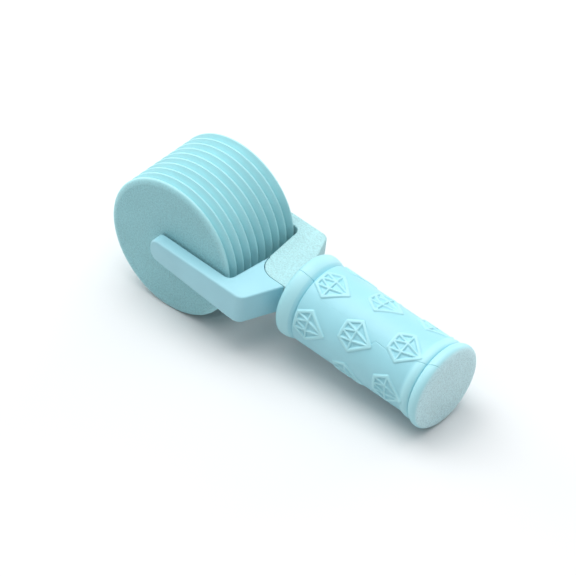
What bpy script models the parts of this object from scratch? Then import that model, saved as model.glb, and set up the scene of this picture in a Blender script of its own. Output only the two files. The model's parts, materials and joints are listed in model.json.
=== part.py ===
"""Ribbed hand roller: a ridged plastic drum that spins between the arms of a two-piece fork,
with a gem-embossed two-shell grip clamped round the fork's tang and a flat cap in its rear end.

The tool stands as it lies on a table: the drum and the grip's rear flange both touch z = 0.
All pieces are modelled in the tool's own frame and then placed by one empty, "tool_frame":
X runs along the grip from the axle, Y is the axle, Z points out of the fork's flat top.
Everything is in metres.
"""

import math

import bmesh
import bpy
from mathutils import Vector

GAP = 0.0003                     # clearance kept between neighbouring solids
CUT_MARGIN = 0.003               # how far a cutter reaches past the surface that it cuts

# Roller
ROLLER_RADIUS = 0.022            # to the crest of a ridge
RIDGE_COUNT = 10
RIDGE_PITCH = 0.00303
GROOVE_DEPTH = 0.0022
GROOVE_FULLNESS = 1.5            # above 1 the groove is narrower at its floor than a sine wave
CREST_WIDTH = 0.0004
FACE_HALF_SPAN = 0.0146          # from the roller's middle to its flat end face
FACE_RADIUS = 0.02024            # edge of the flat end face
DRUM_BORE_RADIUS = 0.0184
COVER_THICKNESS = 0.0012
COVER_SEAT_DEPTH = 0.0015
HUB_RADIUS = 0.0046
THRUST_BOSS_RADIUS = 0.0032
THRUST_BOSS_HEIGHT = 0.0002
AXLE_RADIUS = 0.0025
AXLE_CHAMFER = 0.0004

# Fork
ARM_INNER = 0.0151               # from the tool's middle plane to an arm's inner face
ARM_OUTER = 0.0189
ARM_TIP_RADIUS = 0.0036
ARM_TIP_SQUARENESS = 3.5         # 2 would make the tip's upper corner a plain arc
FORK_TOP = 0.0042
FORK_BOTTOM = -0.0055
LAP_PLANE = -0.0007              # where one half's lobe lies on the other's
THROAT_APEX_X = 0.0245           # inner edge of the fork on the middle plane
THROAT_SLOPE = 0.10
THROAT_FILLET = 0.0022
SHOULDER_CORNER_X = 0.0304       # where the arm's outer face would meet the sloping shoulder
SHOULDER_SLOPE = 0.385
SHOULDER_FILLET = 0.0028
TAPER_END_X = 0.0264             # behind this the fork has its full height
LOBE_RADIUS = 0.0058             # round corner and half width of each lapped lobe
TANG_HALF_WIDTH = 0.0059
TANG_END_X = 0.0640
NOTCH_START_X = 0.0540
NOTCH_END_X = 0.0575
NOTCH_HALF_WIDTH = 0.0044
SOCKET_DEPTH = 0.0022

# Grip
GRIP_FRONT_X = 0.0380
COLLAR_CENTRE_X = 0.0400
COLLAR_TUBE_RADIUS = 0.0020
COLLAR_RADIUS = 0.01305
VALLEY_X = 0.0440
VALLEY_RADIUS = 0.0114
BODY_START_X = 0.0444
BODY_RADIUS = 0.0122
BODY_END_X = 0.0832
BEAD_X = 0.0857
BEAD_RADIUS = 0.01275
GROOVE_X = 0.0872
GROOVE_RADIUS = 0.01215
FLANGE_X = 0.0893
FLANGE_RADIUS = 0.01345
END_X = 0.0913
END_FACE_RADIUS = 0.0097
END_ROUND_FULLNESS = 0.5         # 1 would make the flange's rounding a plain ellipse
GRIP_BORE_RADIUS = 0.0090
FRONT_WALL = 0.0035
CAP_THICKNESS = 0.0020
CAP_SPIGOT_LENGTH = 0.0050
REAR_SEAM_ANGLE = math.radians(148.6)

# Gem relief on the grip
GEM_SPACING = math.radians(67)   # round the grip
GEM_ROWS = [                     # axial place of the table edge, angle of the first gem, gem count
    (0.0453, math.radians(-77.5), 5),
    (0.0600, math.radians(-185.5), 5),
    (0.0746, math.radians(-94.0), 4),
]
GEM_CROWN = 0.0040
GEM_LENGTH = 0.0100
GEM_TABLE_HALF = 0.0025
GEM_GIRDLE_HALF = 0.0048
GEM_RIB_WIDTH = 0.0008
GEM_HEIGHT = 0.00045
GEM_FLOOR = 0.00015
GEM_ROOT = -0.0006               # how deep a gem's base reaches into the shell

# The front seam steps round the gems: distance from the axle against angle from the grip's top
FRONT_SEAM = [
    (0.0370, -20.0), (0.0440, -20.5), (0.0451, -25.5), (0.0491, -37.5), (0.0590, -37.0),
    (0.0638, -25.5), (0.0698, -47.5), (0.0713, -43.5), (0.0742, -42.5), (0.0784, -54.0),
    (0.0840, -33.5), (0.0872, -29.5), (0.0925, -22.0),
]

SEAM_STEP_DEGREES = 4.5          # largest turn of the seam between two cuts of its wall
SEAM_HALF_GAP = 0.00024          # from the seam's middle to either shell, on the plain body
SEAM_FAN_STEPS = 12

SEGMENTS = 40                    # sides of the roller and the grip
PIN_SEGMENTS = 24                # sides of the axle and its sockets

TILT = math.asin(ROLLER_RADIUS / math.hypot(FLANGE_X, FLANGE_RADIUS)) - math.atan2(
    FLANGE_RADIUS, FLANGE_X
)


# ---------------------------------------------------------------- helpers


def clear_scene():
    for thing in list(bpy.data.objects):
        bpy.data.objects.remove(thing, do_unlink=True)


def make_material(name, colour, roughness, metallic=0.0):
    material = bpy.data.materials.new(name)
    material.use_nodes = True
    shader = material.node_tree.nodes["Principled BSDF"]
    shader.inputs["Base Color"].default_value = (*colour, 1.0)
    shader.inputs["Roughness"].default_value = roughness
    shader.inputs["Metallic"].default_value = metallic
    return material


def add_object(name, mesh_data, material, frame):
    """Turn a bmesh into an object of the tool frame."""
    bmesh.ops.recalc_face_normals(mesh_data, faces=mesh_data.faces)
    mesh = bpy.data.meshes.new(name)
    mesh_data.to_mesh(mesh)
    mesh_data.free()
    mesh.shade_smooth()
    mesh.set_sharp_from_angle(angle=math.radians(30))
    thing = bpy.data.objects.new(name, mesh)
    bpy.context.scene.collection.objects.link(thing)
    thing.parent = frame
    if material:
        mesh.materials.append(material)
    return thing


def add_cutter(name, mesh_data, frame):
    cutter = add_object(name, mesh_data, None, frame)
    cutter.hide_render = True
    cutter.display_type = "WIRE"
    return cutter


def boolean(thing, operation, cutter):
    step = thing.modifiers.new(f"{operation.lower()}_{cutter.name}", "BOOLEAN")
    step.operation = operation
    step.solver = "EXACT"
    step.object = cutter


def revolve(profile, axis, phase=0.0, segments=SEGMENTS):
    """Closed solid swept by a closed (distance along axis, radius) outline."""
    mesh_data = bmesh.new()
    rings = []
    for along, radius in profile:
        ring = []
        for step in range(segments if radius > 0 else 1):
            angle = phase + 2 * math.pi * step / segments
            side, up = radius * math.sin(angle), radius * math.cos(angle)
            place = (along, side, up) if axis == "X" else (side, along, up)
            ring.append(mesh_data.verts.new(place))
        rings.append(ring)
    for index, ring in enumerate(rings):
        following = rings[(index + 1) % len(rings)]
        for step in range(segments):
            corners = []
            for vert in (
                ring[step % len(ring)],
                ring[(step + 1) % len(ring)],
                following[(step + 1) % len(following)],
                following[step % len(following)],
            ):
                if vert not in corners:
                    corners.append(vert)
            if len(corners) > 2:
                mesh_data.faces.new(corners)
    return mesh_data


def prism(outline, low, high, plane="XY"):
    """Straight extrusion of a closed outline, in XY along Z or in XZ along Y."""
    mesh_data = bmesh.new()
    sides = []
    for level in (low, high):
        if plane == "XY":
            sides.append([mesh_data.verts.new((a, b, level)) for a, b in outline])
        else:
            sides.append([mesh_data.verts.new((a, level, b)) for a, b in outline])
    bottom, top = sides
    for index in range(len(outline)):
        following = (index + 1) % len(outline)
        mesh_data.faces.new((bottom[index], bottom[following], top[following], top[index]))
    mesh_data.faces.new(bottom)
    mesh_data.faces.new(top)
    return mesh_data


def box(low, high):
    corners = [(low[0], low[1]), (high[0], low[1]), (high[0], high[1]), (low[0], high[1])]
    return prism(corners, low[2], high[2])


def arc(centre, radius, start, end, steps):
    """Points of an arc, angles in degrees."""
    points = []
    for step in range(steps + 1):
        angle = math.radians(start + (end - start) * step / steps)
        points.append((centre[0] + radius * math.cos(angle), centre[1] + radius * math.sin(angle)))
    return points


def fillet(before, corner, after, radius, steps):
    """Arc that rounds the corner between two straight edges."""
    to_before = (before[0] - corner[0], before[1] - corner[1])
    to_after = (after[0] - corner[0], after[1] - corner[1])
    length_before, length_after = math.hypot(*to_before), math.hypot(*to_after)
    unit_before = (to_before[0] / length_before, to_before[1] / length_before)
    unit_after = (to_after[0] / length_after, to_after[1] / length_after)
    cosine = unit_before[0] * unit_after[0] + unit_before[1] * unit_after[1]
    half = math.acos(max(-1.0, min(1.0, cosine))) / 2
    middle = (unit_before[0] + unit_after[0], unit_before[1] + unit_after[1])
    scale = radius / math.sin(half) / math.hypot(*middle)
    centre = (corner[0] + middle[0] * scale, corner[1] + middle[1] * scale)
    reach = radius / math.tan(half)
    first = (corner[0] + unit_before[0] * reach, corner[1] + unit_before[1] * reach)
    last = (corner[0] + unit_after[0] * reach, corner[1] + unit_after[1] * reach)
    start = math.atan2(first[1] - centre[1], first[0] - centre[0])
    sweep = math.atan2(last[1] - centre[1], last[0] - centre[0]) - start
    sweep = (sweep + math.pi) % (2 * math.pi) - math.pi
    return arc(centre, radius, math.degrees(start), math.degrees(start + sweep), steps)


def blend(start, end, steps):
    """Smooth S-shaped run between two (along, radius) points, without its first point."""
    points = []
    for step in range(1, steps + 1):
        share = step / steps
        weight = (1 - math.cos(math.pi * share)) / 2
        along = start[0] + (end[0] - start[0]) * share
        points.append((along, start[1] + (end[1] - start[1]) * weight))
    return points


# ---------------------------------------------------------------- roller


def drum_profile():
    """Bevelled rim, ten crests with rounded grooves between them, second rim, then the bore."""
    first_crest = -RIDGE_PITCH * (RIDGE_COUNT - 1) / 2
    rim_start = first_crest - CREST_WIDTH / 2
    left_rim = []
    for degrees in (0, 30, 60, 90):
        angle = math.radians(degrees)
        left_rim.append((
            -FACE_HALF_SPAN + (rim_start + FACE_HALF_SPAN) * (1 - math.cos(angle)),
            FACE_RADIUS + (ROLLER_RADIUS - FACE_RADIUS) * math.sin(angle),
        ))
    profile = list(left_rim)
    for ridge in range(RIDGE_COUNT):
        crest = first_crest + ridge * RIDGE_PITCH
        if ridge:
            profile.append((crest - CREST_WIDTH / 2, ROLLER_RADIUS))
        if ridge < RIDGE_COUNT - 1:
            profile.append((crest + CREST_WIDTH / 2, ROLLER_RADIUS))
            for share in (0.22, 0.5, 0.78):
                profile.append((
                    crest + RIDGE_PITCH * share,
                    ROLLER_RADIUS - GROOVE_DEPTH * math.sin(math.pi * share) ** GROOVE_FULLNESS,
                ))
    profile += [(-along, radius) for along, radius in reversed(left_rim)]
    seat = FACE_HALF_SPAN - COVER_SEAT_DEPTH
    profile += [(seat, FACE_RADIUS), (seat, DRUM_BORE_RADIUS)]
    profile += [(-seat, DRUM_BORE_RADIUS), (-seat, FACE_RADIUS)]
    return profile


def cover_profile():
    """End cover with a hub sleeve inside and a low thrust boss outside, for the +Y end."""
    bore = AXLE_RADIUS + GAP
    back = FACE_HALF_SPAN - COVER_THICKNESS
    return [
        (GAP / 2, bore),
        (GAP / 2, HUB_RADIUS),
        (back, HUB_RADIUS),
        (back, FACE_RADIUS - GAP),
        (FACE_HALF_SPAN, FACE_RADIUS - GAP),
        (FACE_HALF_SPAN, THRUST_BOSS_RADIUS),
        (FACE_HALF_SPAN + THRUST_BOSS_HEIGHT, THRUST_BOSS_RADIUS),
        (FACE_HALF_SPAN + THRUST_BOSS_HEIGHT, bore),
    ]


def make_roller(frame):
    aqua = make_material("roller_plastic", (0.40, 0.78, 0.83), 0.42)
    face = make_material("cover_plastic", (0.38, 0.74, 0.78), 0.55)
    add_object("roller_drum", revolve(drum_profile(), "Y", -TILT), aqua, frame)
    for name, sign in (("roller_cover_left", -1), ("roller_cover_right", 1)):
        profile = [(sign * along, radius) for along, radius in cover_profile()]
        add_object(name, revolve(profile, "Y", -TILT), face, frame)


def make_axle(frame):
    steel = make_material("axle_steel", (0.62, 0.63, 0.65), 0.28, 1.0)
    reach = ARM_INNER + SOCKET_DEPTH - GAP
    profile = [
        (-reach, 0.0),
        (-reach, AXLE_RADIUS - AXLE_CHAMFER),
        (-reach + AXLE_CHAMFER, AXLE_RADIUS),
        (reach - AXLE_CHAMFER, AXLE_RADIUS),
        (reach, AXLE_RADIUS - AXLE_CHAMFER),
        (reach, 0.0),
    ]
    add_object("axle_pin", revolve(profile, "Y", segments=PIN_SEGMENTS), steel, frame)


# ---------------------------------------------------------------- fork


def throat_x(outward):
    return THROAT_APEX_X - THROAT_SLOPE * outward


def shoulder_x(outward):
    return SHOULDER_CORNER_X + SHOULDER_SLOPE * (ARM_OUTER - outward)


def lobe_edge(grow=0.0):
    """Round corner of a lapped lobe and its straight edge, on the far side of the middle plane."""
    centre = (THROAT_APEX_X + LOBE_RADIUS, 0.0)
    return arc(centre, LOBE_RADIUS + grow, 180, 270, 8) + [(TANG_END_X, -LOBE_RADIUS - grow)]


def half_outline():
    """Plan of one fork half; the second coordinate grows outward, towards its own arm."""
    tip = -ARM_TIP_RADIUS
    throat_corner = (throat_x(ARM_INNER), ARM_INNER)
    shoulder_corner = (SHOULDER_CORNER_X, ARM_OUTER)
    neck = (shoulder_x(TANG_HALF_WIDTH), TANG_HALF_WIDTH)
    outline = lobe_edge()
    outline += [
        (TANG_END_X, TANG_HALF_WIDTH),
        (NOTCH_END_X, TANG_HALF_WIDTH),
        (NOTCH_END_X, NOTCH_HALF_WIDTH),
        (NOTCH_START_X, NOTCH_HALF_WIDTH),
        (NOTCH_START_X, TANG_HALF_WIDTH),
        neck,
    ]
    outline += fillet(neck, shoulder_corner, (tip, ARM_OUTER), SHOULDER_FILLET, 6)
    outline += [(tip, ARM_OUTER), (tip, ARM_INNER)]
    outline += fillet(
        (tip, ARM_INNER), throat_corner, (THROAT_APEX_X, 0.0), THROAT_FILLET, 6
    )
    return outline


def tip_outline(steps):
    """Round arm tip whose upper corner is a little squarer than an arc."""
    centre_height = FORK_TOP - ARM_TIP_RADIUS
    power = 2 / ARM_TIP_SQUARENESS
    upper = []
    for step in range(steps):
        angle = math.pi / 2 * step / steps
        upper.append((
            -ARM_TIP_RADIUS * math.sin(angle) ** power,
            centre_height + ARM_TIP_RADIUS * math.cos(angle) ** power,
        ))
    return upper + arc((0.0, centre_height), ARM_TIP_RADIUS, 180, 260, steps)


def side_outline():
    """Side view of the fork: round arm tip, flat top, underside that drops to full depth."""
    tip = tip_outline(7)
    end = TANG_END_X + GAP
    return tip + [(TAPER_END_X, FORK_BOTTOM), (end, FORK_BOTTOM), (end, FORK_TOP)]


def lobe_notch(side):
    """Cutter for the notch in the lobe's edge, across from the one in the tang's outer edge."""
    inner, outer = sorted((side * NOTCH_HALF_WIDTH, side * (LOBE_RADIUS + GAP)))
    return box(
        (NOTCH_START_X, inner, FORK_BOTTOM - CUT_MARGIN),
        (NOTCH_END_X, outer, FORK_TOP + CUT_MARGIN),
    )


def lap_outline(side):
    """Plan of the room that one half leaves for the other half's lobe, which is on its own side."""
    lobe = [(along, -side * edge) for along, edge in lobe_edge(GAP)]
    outer = -side * (ARM_OUTER + CUT_MARGIN)
    behind = TANG_END_X + CUT_MARGIN
    front = THROAT_APEX_X - LOBE_RADIUS
    return lobe + [
        (behind, lobe[-1][1]),
        (behind, outer),
        (THROAT_APEX_X + LOBE_RADIUS, outer),
        (front, outer),
        (front, 0.0),
    ]


def make_fork(frame):
    for name, side, lobe_is_on_top in (("fork_half_left", -1, False), ("fork_half_right", 1, True)):
        finish = make_material(f"{name}_plastic", (0.45, 0.83, 0.87), 0.45)
        outline = [(along, side * outward) for along, outward in half_outline()]
        half = add_object(name, prism(outline, FORK_BOTTOM, FORK_TOP), finish, frame)

        width = ARM_OUTER + CUT_MARGIN
        sides = prism(side_outline(), -width, width, "XZ")
        boolean(half, "INTERSECT", add_cutter(f"{name}_sides", sides, frame))

        if lobe_is_on_top:
            layer = (FORK_BOTTOM - CUT_MARGIN, LAP_PLANE + GAP / 2)
        else:
            layer = (LAP_PLANE - GAP / 2, FORK_TOP + CUT_MARGIN)
        lap = prism(lap_outline(side), *layer)
        boolean(half, "DIFFERENCE", add_cutter(f"{name}_lap", lap, frame))
        boolean(half, "DIFFERENCE", add_cutter(f"{name}_notch", lobe_notch(-side), frame))

        start, end = side * (ARM_INNER - GAP), side * (ARM_INNER + SOCKET_DEPTH)
        radius = AXLE_RADIUS + GAP
        socket = revolve(
            [(start, 0.0), (start, radius), (end, radius), (end, 0.0)], "Y", segments=PIN_SEGMENTS
        )
        boolean(half, "DIFFERENCE", add_cutter(f"{name}_socket", socket, frame))


# ---------------------------------------------------------------- grip


def grip_outer_profile():
    """Collar ring, valley, plain body, bead, groove and round-edged end flange."""
    bead_centre = (COLLAR_CENTRE_X, COLLAR_RADIUS - COLLAR_TUBE_RADIUS)
    profile = arc(bead_centre, COLLAR_TUBE_RADIUS, 180, 90, 4)
    for degrees in (25, 50, 70):
        angle = math.radians(degrees)
        profile.append((
            COLLAR_CENTRE_X + (VALLEY_X - COLLAR_CENTRE_X) * math.sin(angle),
            VALLEY_RADIUS + (COLLAR_RADIUS - VALLEY_RADIUS) * math.cos(angle),
        ))
    profile += [(VALLEY_X, VALLEY_RADIUS), (BODY_START_X, BODY_RADIUS), (BODY_END_X, BODY_RADIUS)]
    profile += blend(profile[-1], (BEAD_X, BEAD_RADIUS), 3)
    profile += blend(profile[-1], (GROOVE_X, GROOVE_RADIUS), 2)
    for share in (0.33, 0.66, 1.0):
        rise = math.sin(math.pi / 2 * share)
        profile.append((
            GROOVE_X + (FLANGE_X - GROOVE_X) * share,
            GROOVE_RADIUS + (FLANGE_RADIUS - GROOVE_RADIUS) * rise,
        ))
    for degrees in (26, 52, 78.5):
        angle = math.radians(degrees)
        fullness = math.cos(angle) ** END_ROUND_FULLNESS
        profile.append((
            FLANGE_X + (END_X - FLANGE_X) * math.sin(angle),
            END_FACE_RADIUS + (FLANGE_RADIUS - END_FACE_RADIUS) * fullness,
        ))
    profile.append((END_X, END_FACE_RADIUS))
    return profile


def grip_profile():
    """Outer surface plus the hollow inside, with a front wall and a web at the tang's notches."""
    seat = END_X - CAP_THICKNESS - GAP
    web_front, web_back = NOTCH_START_X + GAP, NOTCH_END_X - GAP
    inside = [
        (seat, END_FACE_RADIUS),
        (seat, GRIP_BORE_RADIUS),
        (web_back, GRIP_BORE_RADIUS),
        (web_back, NOTCH_HALF_WIDTH),
        (web_front, NOTCH_HALF_WIDTH),
        (web_front, GRIP_BORE_RADIUS),
        (GRIP_FRONT_X + FRONT_WALL, GRIP_BORE_RADIUS),
        (GRIP_FRONT_X + FRONT_WALL, NOTCH_HALF_WIDTH),
        (GRIP_FRONT_X, NOTCH_HALF_WIDTH),
    ]
    return grip_outer_profile() + inside


def seam_angle(along):
    """Angle of the stepped seam from the grip's top, at a distance from the axle."""
    for (start, first), (end, last) in zip(FRONT_SEAM, FRONT_SEAM[1:]):
        if along <= end:
            share = (along - start) / (end - start)
            return math.radians(first + (last - first) * share)
    return math.radians(FRONT_SEAM[-1][1])


def seam_stations():
    """Places along the grip where the seam's wall is cut, each bend among them."""
    places = [FRONT_SEAM[0][0]]
    for (start, first), (end, last) in zip(FRONT_SEAM, FRONT_SEAM[1:]):
        steps = max(1, math.ceil(abs(last - first) / SEAM_STEP_DEGREES))
        places += [start + (end - start) * step / steps for step in range(1, steps + 1)]
    return places


def seam_region(upper):
    """Fan-shaped solid that holds everything on one side of the two seams."""
    reach = FLANGE_RADIUS + CUT_MARGIN
    clearance = math.atan2(SEAM_HALF_GAP, BODY_RADIUS)
    mesh_data = bmesh.new()
    stations = []
    for along in seam_stations():
        front = seam_angle(along)
        if upper:
            start, end = front + clearance, REAR_SEAM_ANGLE - clearance
        else:
            start, end = REAR_SEAM_ANGLE + clearance, front + 2 * math.pi - clearance
        middle = (start + end) / 2
        heart = (along, GAP / 2 * math.sin(middle), GAP / 2 * math.cos(middle))
        station = [mesh_data.verts.new(heart)]
        for step in range(SEAM_FAN_STEPS + 1):
            angle = start + (end - start) * step / SEAM_FAN_STEPS
            rim = (along, reach * math.sin(angle), reach * math.cos(angle))
            station.append(mesh_data.verts.new(rim))
        stations.append(station)
    for station, following in zip(stations, stations[1:]):
        for index in range(len(station)):
            other = (index + 1) % len(station)
            # Both regions split the seam's wall along the same diagonal, from heart to rim.
            if other:
                shared, far = station[index], following[other]
                mesh_data.faces.new((shared, station[other], far))
                mesh_data.faces.new((shared, far, following[index]))
            else:
                shared, far = station[0], following[index]
                mesh_data.faces.new((station[index], shared, far))
                mesh_data.faces.new((shared, following[0], far))
    for cap in (stations[0], stations[-1]):
        for index in range(1, len(cap) - 1):
            mesh_data.faces.new((cap[0], cap[index], cap[index + 1]))
    return mesh_data


def gem_layout():
    """Corners of the gem drawing as (along, across), its facets and its outer ring of corners."""
    third = GEM_GIRDLE_HALF / 3
    corners = {
        "table_right": (0.0, GEM_TABLE_HALF),
        "table_middle": (0.0, 0.0),
        "table_left": (0.0, -GEM_TABLE_HALF),
        "girdle_right": (GEM_CROWN, GEM_GIRDLE_HALF),
        "inner_right": (GEM_CROWN, third),
        "inner_left": (GEM_CROWN, -third),
        "girdle_left": (GEM_CROWN, -GEM_GIRDLE_HALF),
        "culet": (GEM_LENGTH, 0.0),
    }
    facets = [
        ("girdle_right", "table_right", "inner_right"),
        ("table_right", "table_middle", "inner_right"),
        ("inner_right", "table_middle", "inner_left"),
        ("table_middle", "table_left", "inner_left"),
        ("table_left", "girdle_left", "inner_left"),
        ("girdle_right", "inner_right", "culet"),
        ("inner_right", "inner_left", "culet"),
        ("inner_left", "girdle_left", "culet"),
    ]
    ring = ["table_right", "table_middle", "table_left", "girdle_left", "culet", "girdle_right"]
    return corners, facets, ring


def inset_triangle(points, distance):
    """Triangle with every side moved inward by a distance, by shrinking it about its incentre."""
    first, second, third = (Vector(point) for point in points)
    sides = [(second - third).length, (third - first).length, (first - second).length]
    perimeter = sum(sides)
    centre = (first * sides[0] + second * sides[1] + third * sides[2]) / perimeter
    inradius = abs((second - first).cross(third - first)) / perimeter
    scale = 1 - distance / inradius
    return [tuple(centre + (point - centre) * scale) for point in (first, second, third)]


def outset_ring(points, distance):
    """Closed ring of points with every side moved outward by a distance."""
    moved = []
    count = len(points)
    for index, point in enumerate(points):
        normals = []
        for start, end in ((points[index - 1], point), (point, points[(index + 1) % count])):
            length = math.dist(start, end)
            normals.append(((end[1] - start[1]) / length, -(end[0] - start[0]) / length))
        mean = (normals[0][0] + normals[1][0], normals[0][1] + normals[1][1])
        scale = 2 * distance / (mean[0] ** 2 + mean[1] ** 2)
        moved.append((point[0] + mean[0] * scale, point[1] + mean[1] * scale))
    centre = (sum(p[0] for p in points) / count, sum(p[1] for p in points) / count)
    if math.dist(moved[0], centre) < math.dist(points[0], centre):
        return outset_ring(points, -distance)
    return moved


def add_gem(mesh_data, start_x, angle):
    """One raised gem drawing: ribs along its lines, shallow pockets in its facets."""
    corners, facets, ring = gem_layout()

    def place(point, height):
        along, across = point
        turn = angle + across / BODY_RADIUS
        radius = BODY_RADIUS + height
        return mesh_data.verts.new((
            start_x + along, radius * math.sin(turn), radius * math.cos(turn)
        ))

    crest = {name: place(point, GEM_HEIGHT) for name, point in corners.items()}
    for names in facets:
        points = [corners[name] for name in names]
        pocket = inset_triangle(points, GEM_RIB_WIDTH / 2)
        lip = [place(point, GEM_HEIGHT) for point in pocket]
        floor = [place(point, GEM_FLOOR) for point in pocket]
        for index in range(3):
            other = (index + 1) % 3
            mesh_data.faces.new((crest[names[index]], crest[names[other]], lip[other], lip[index]))
            mesh_data.faces.new((lip[index], lip[other], floor[other], floor[index]))
        mesh_data.faces.new(floor)
    outline = outset_ring([corners[name] for name in ring], GEM_RIB_WIDTH / 2)
    edge = [place(point, GEM_HEIGHT) for point in outline]
    root = [place(point, GEM_ROOT) for point in outline]
    for index, name in enumerate(ring):
        other = (index + 1) % len(ring)
        mesh_data.faces.new((crest[name], crest[ring[other]], edge[other], edge[index]))
        mesh_data.faces.new((edge[index], edge[other], root[other], root[index]))
    mesh_data.faces.new(root)


def gem_places():
    for start_x, first_angle, count in GEM_ROWS:
        for step in range(count):
            yield start_x, first_angle + step * GEM_SPACING


def gem_is_on_upper(start_x, angle):
    middle = seam_angle(start_x + GEM_CROWN)
    turn = (angle - middle) % (2 * math.pi)
    return turn < (REAR_SEAM_ANGLE - middle) % (2 * math.pi)


def make_grip(frame):
    for name, upper in (("grip_shell_upper", True), ("grip_shell_lower", False)):
        finish = make_material(f"{name}_plastic", (0.47, 0.85, 0.89), 0.48)
        shell = add_object(name, revolve(grip_profile(), "X"), finish, frame)
        boolean(shell, "INTERSECT", add_cutter(f"{name}_side", seam_region(upper), frame))

        window = TANG_HALF_WIDTH + GAP
        neck = box(
            (GRIP_FRONT_X - GAP, -window, FORK_BOTTOM - GAP),
            (GRIP_FRONT_X + FRONT_WALL + GAP, window, FORK_TOP + GAP),
        )
        boolean(shell, "DIFFERENCE", add_cutter(f"{name}_neck", neck, frame))
        window = NOTCH_HALF_WIDTH + GAP
        waist = box(
            (NOTCH_START_X, -window, FORK_BOTTOM - GAP),
            (NOTCH_END_X, window, FORK_TOP + GAP),
        )
        boolean(shell, "DIFFERENCE", add_cutter(f"{name}_waist", waist, frame))

        relief = bmesh.new()
        for start_x, angle in gem_places():
            if gem_is_on_upper(start_x, angle) == upper:
                add_gem(relief, start_x, angle)
        boolean(shell, "UNION", add_cutter(f"{name}_gems", relief, frame))


def make_end_cap(frame):
    finish = make_material("end_cap_plastic", (0.44, 0.80, 0.84), 0.55)
    back = END_X - CAP_THICKNESS
    profile = [
        (END_X, 0.0),
        (END_X, END_FACE_RADIUS - GAP),
        (back, END_FACE_RADIUS - GAP),
        (back, GRIP_BORE_RADIUS - GAP),
        (back - CAP_SPIGOT_LENGTH, GRIP_BORE_RADIUS - GAP),
        (back - CAP_SPIGOT_LENGTH, 0.0),
    ]
    add_object("end_cap", revolve(profile, "X"), finish, frame)


# ---------------------------------------------------------------- assembly


def make_frame():
    """Empty on the axle, tilted so that drum and flange touch the floor, centred over the origin."""
    reach = max(
        along * math.cos(TILT) + radius * math.sin(TILT) for along, radius in grip_outer_profile()
    )
    frame = bpy.data.objects.new("tool_frame", None)
    frame.location = ((ROLLER_RADIUS - reach) / 2, 0.0, ROLLER_RADIUS)
    frame.rotation_euler = (0.0, TILT, 0.0)
    bpy.context.scene.collection.objects.link(frame)
    return frame


def main():
    clear_scene()
    frame = make_frame()
    make_roller(frame)
    make_axle(frame)
    make_fork(frame)
    make_grip(frame)
    make_end_cap(frame)


main()
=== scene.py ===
"""Looks of the ribbed hand roller: fine meshes for every outer piece, moulded aqua plastic, studio light.

The fine pieces are made in the tool's own frame, as in the CAD: X runs along the grip from the axle,
Y is the axle, Z points out of the fork's flat top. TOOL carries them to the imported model's frame.
Everything is in metres.
"""

import json
import math

import bmesh
import bpy
import numpy as np
from mathutils import Matrix, Vector


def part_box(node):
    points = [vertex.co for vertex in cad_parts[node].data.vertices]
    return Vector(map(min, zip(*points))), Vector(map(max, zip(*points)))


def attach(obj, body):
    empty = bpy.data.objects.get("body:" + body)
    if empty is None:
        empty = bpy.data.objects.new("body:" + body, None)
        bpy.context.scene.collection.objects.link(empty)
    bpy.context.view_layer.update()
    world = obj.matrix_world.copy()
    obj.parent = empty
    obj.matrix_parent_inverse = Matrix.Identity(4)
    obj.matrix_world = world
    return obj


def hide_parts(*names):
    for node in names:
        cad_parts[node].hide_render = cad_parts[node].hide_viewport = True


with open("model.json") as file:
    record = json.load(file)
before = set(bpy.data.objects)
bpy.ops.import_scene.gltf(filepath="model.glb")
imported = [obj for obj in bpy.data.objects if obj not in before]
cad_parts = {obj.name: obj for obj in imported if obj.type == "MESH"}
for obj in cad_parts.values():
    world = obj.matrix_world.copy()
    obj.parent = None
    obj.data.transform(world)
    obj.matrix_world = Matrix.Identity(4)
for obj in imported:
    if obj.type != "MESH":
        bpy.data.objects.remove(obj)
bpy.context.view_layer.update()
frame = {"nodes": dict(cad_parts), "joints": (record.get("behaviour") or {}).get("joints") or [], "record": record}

AXLE = Vector(frame["joints"][0]["pos_m"])
MOUNTS = {mount["name"]: mount for mount in frame["record"]["mounts"]}
TO_GRIP_END = Vector(MOUNTS["grip_end_face"]["pos_m"]) - AXLE
END_X = TO_GRIP_END.length
TILT = math.asin(-TO_GRIP_END.z / END_X)
TOOL = Matrix.Translation(AXLE) @ Matrix.Rotation(TILT, 4, "Y")

GAP = 0.0003                     # clearance between the CAD's solids
HAIRLINE = 0.000005              # gap left where two pieces meet in a closed joint
CUT_MARGIN = 0.003               # how far a cutter reaches past the surface that it cuts
TINY = 1e-6                      # joins points closer than this, and keeps divisions finite

# Fineness of the meshes
FINE = 0.00015
TURNED_SEGMENTS = 240
RIM_STEPS = 10
CREST_STEPS = 4
FLOOR_STEPS = 8
SHOULDER_STEPS = 16
THROAT_STEPS = 14
ROUND_STEPS = 24                 # arm tips, lobes and collar
SOCKET_SEGMENTS = 48
BEAD_STEPS = 14
END_ROUND_STEPS = 40
BEVEL_SEGMENTS = 5
SHARP_DEGREES = 35               # a fold sharper than this stays an edge in the shading
GRIP_SHARP_DEGREES = 45
FLAT_DEGREES = 0.5               # faces that fold less than this are joined before rounding
EDGE_DEGREES = 30                # a fold sharper than this is rounded

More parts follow.
